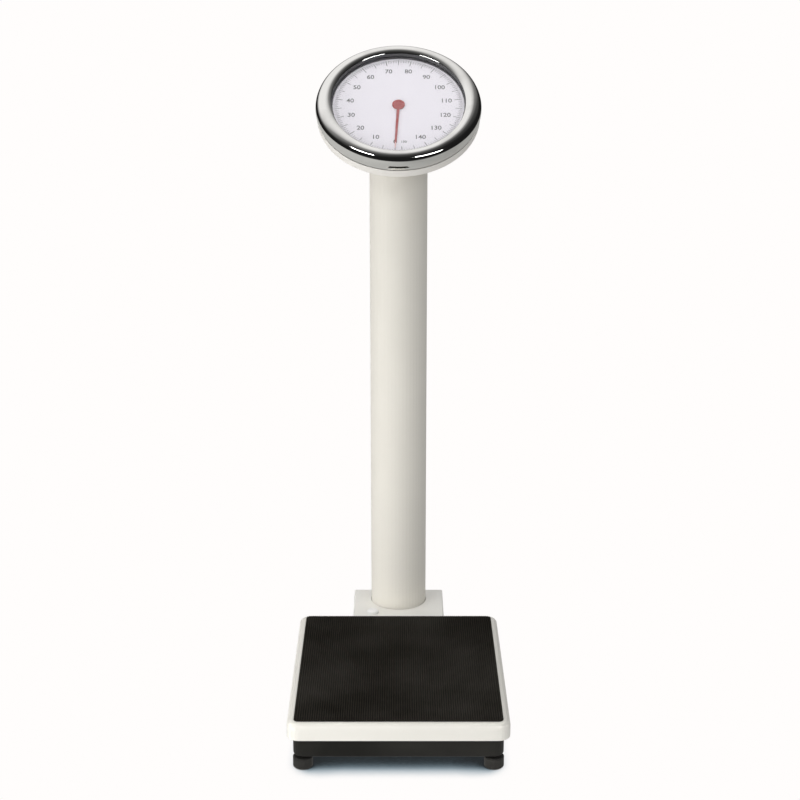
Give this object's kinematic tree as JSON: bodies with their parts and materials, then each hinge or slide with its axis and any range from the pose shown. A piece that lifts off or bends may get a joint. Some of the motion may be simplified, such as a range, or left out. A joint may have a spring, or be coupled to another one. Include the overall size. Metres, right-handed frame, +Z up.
{
  "type": "mechanical column scale",
  "caption": "Mechanical column scale: ribbed platform on levers, tall tube column and a tilted round dial with a red pointer driven by a rack and pinion.",
  "frame": {"origin": "middle of the footprint's bounding box, on the floor under the feet", "axes": "+Z up, -Y towards the person on the platform who reads the dial, +X to that person's right"},
  "size_m": [0.32, 0.5404, 0.9809],
  "materials": {
    "white_paint": "semi-gloss warm white paint",
    "column_paint": "satin warm white paint",
    "black_paint": "satin black paint",
    "mat_rubber": "ribbed black rubber",
    "foot_rubber": "dull black rubber",
    "ring_chrome": "polished chrome plate",
    "dial_white": "matt white print",
    "pointer_red": "satin red paint",
    "clear_glass": "clear polished glass",
    "plain_steel": "plated steel",
    "hard_steel": "ground hardened steel",
    "cast_iron": "dark painted casting",
    "brass": "turned brass",
    "gasket_grey": "grey rubber",
    "knob_plastic": "moulded plastic"
  },
  "bodies": {
    "stand": {"base_pan": "black_paint", "column_carrier": "black_paint", "bearing_front_left": "hard_steel", "bearing_front_right": "hard_steel", "bearing_rear_left": "hard_steel", "bearing_rear_right": "hard_steel", "column_bracket": "white_paint", "column_socket": "cast_iron", "column_tube": "column_paint", "head_mount": "cast_iron", "head_housing": "white_paint", "bezel_ring": "ring_chrome", "dial_glass": "clear_glass", "glass_gasket": "gasket_grey", "dial_plate": "dial_white", "mechanism_bridge": "plain_steel", "rack_guide": "brass", "crank_bracket": "plain_steel", "spring_anchor": "plain_steel", "tension_spring_left": "hard_steel", "tension_spring_right": "hard_steel"},
    "platform": {"platform_frame": "plain_steel", "platform_cover": "white_paint", "rubber_mat": "mat_rubber"},
    "long_lever": {"long_lever": "cast_iron", "front_fulcrum_knife": "hard_steel", "front_load_knife": "hard_steel", "nose_knife": "hard_steel"},
    "lever_link": {"lever_link": "plain_steel"},
    "short_lever": {"short_lever": "cast_iron", "rear_fulcrum_knife_left": "hard_steel", "rear_fulcrum_knife_right": "hard_steel", "rear_load_knife_left": "hard_steel", "rear_load_knife_right": "hard_steel"},
    "draw_rod": {"draw_rod": "plain_steel", "draw_stirrup": "plain_steel", "spring_yoke": "plain_steel"},
    "bell_crank": {"bell_crank": "brass", "crank_pin": "hard_steel"},
    "rack": {"rack": "brass"},
    "pointer": {"pinion_shaft": "brass", "pointer": "pointer_red"},
    "zero_knob": {"zero_knob": "knob_plastic", "zero_spindle": "plain_steel"},
    "trim_nut": {"trim_nut": "brass", "trim_spring": "hard_steel"},
    "foot_front_left": {"foot_pad_front_left": "foot_rubber", "foot_stud_front_left": "plain_steel"},
    "foot_front_right": {"foot_pad_front_right": "foot_rubber", "foot_stud_front_right": "plain_steel"},
    "foot_rear_left": {"foot_pad_rear_left": "foot_rubber", "foot_stud_rear_left": "plain_steel"},
    "foot_rear_right": {"foot_pad_rear_right": "foot_rubber", "foot_stud_rear_right": "plain_steel"}
  },
  "joints": [
    {"name": "draw_rod_travel", "type": "slide", "parent": "stand", "child": "draw_rod", "axis": [0, 0, -1], "range_m": [0, 0.015], "stiffness_N_per_m": 10000, "springref_m": -0.002, "deforming": ["tension_spring_left", "tension_spring_right"]},
    {"name": "platform_travel", "type": "slide", "parent": "stand", "child": "platform", "axis": [0, 0, -1], "range_m": [0, 0.0015]},
    {"name": "long_lever_rock", "type": "hinge", "parent": "stand", "child": "long_lever", "pos_m": [0, -0.22519, 0.047], "axis": [-1, 0, 0], "range_deg": [0, 2.08]},
    {"name": "lever_link_swing", "type": "hinge", "parent": "long_lever", "child": "lever_link", "pos_m": [0, -0.08669, 0.049], "axis": [1, 0, 0], "range_deg": [0, 2.08]},
    {"name": "short_lever_rock", "type": "hinge", "parent": "stand", "child": "short_lever", "pos_m": [0, 0.05181, 0.047], "axis": [1, 0, 0], "range_deg": [0, 2.08]},
    {"name": "bell_crank_swing", "type": "hinge", "parent": "stand", "child": "bell_crank", "pos_m": [-0.014, 0.16731, 0.84257], "axis": [-1, 0, 0], "range_deg": [0, 42.97]},
    {"name": "rack_travel", "type": "slide", "parent": "stand", "child": "rack", "axis": [0, 0.788, 0.6157], "range_m": [0, 0.03086]},
    {"name": "pointer_spin", "type": "hinge", "parent": "stand", "child": "pointer", "pos_m": [0, 0.15681, 0.8982], "axis": [0, 0.6157, -0.788], "range_deg": [0, 353.6]},
    {"name": "zero_knob_turn", "type": "hinge", "parent": "stand", "child": "zero_knob", "pos_m": [-0.0425, 0.12981, 0.068], "axis": [0, 0, 1], "range_deg": [-900, 900]},
    {"name": "trim_nut_travel", "type": "slide", "parent": "stand", "child": "trim_nut", "axis": [0, 0, 1], "range_m": [-0.0025, 0.0025], "deforming": ["trim_spring"]},
    {"name": "foot_screw_front_left", "type": "slide", "parent": "stand", "child": "foot_front_left", "axis": [0, 0, -1], "range_m": [0, 0.008]},
    {"name": "foot_screw_front_right", "type": "slide", "parent": "stand", "child": "foot_front_right", "axis": [0, 0, -1], "range_m": [0, 0.008]},
    {"name": "foot_screw_rear_left", "type": "slide", "parent": "stand", "child": "foot_rear_left", "axis": [0, 0, -1], "range_m": [0, 0.008]},
    {"name": "foot_screw_rear_right", "type": "slide", "parent": "stand", "child": "foot_rear_right", "axis": [0, 0, -1], "range_m": [0, 0.008]}
  ],
  "couplings": [
    {"joint": "platform_travel", "follows": "draw_rod_travel", "ratio": 0.1},
    {"joint": "long_lever_rock", "follows": "draw_rod_travel", "rad_per_m": 2.4242},
    {"joint": "lever_link_swing", "follows": "draw_rod_travel", "rad_per_m": 2.4242},
    {"joint": "short_lever_rock", "follows": "draw_rod_travel", "rad_per_m": 2.4242},
    {"joint": "bell_crank_swing", "follows": "draw_rod_travel", "rad_per_m": 50},
    {"joint": "rack_travel", "follows": "draw_rod_travel", "ratio": 2.0572},
    {"joint": "pointer_spin", "follows": "draw_rod_travel", "rad_per_m": 411.43},
    {"joint": "zero_knob_turn", "follows": "trim_nut_travel", "rad_per_m": 6283.2}
  ]
}
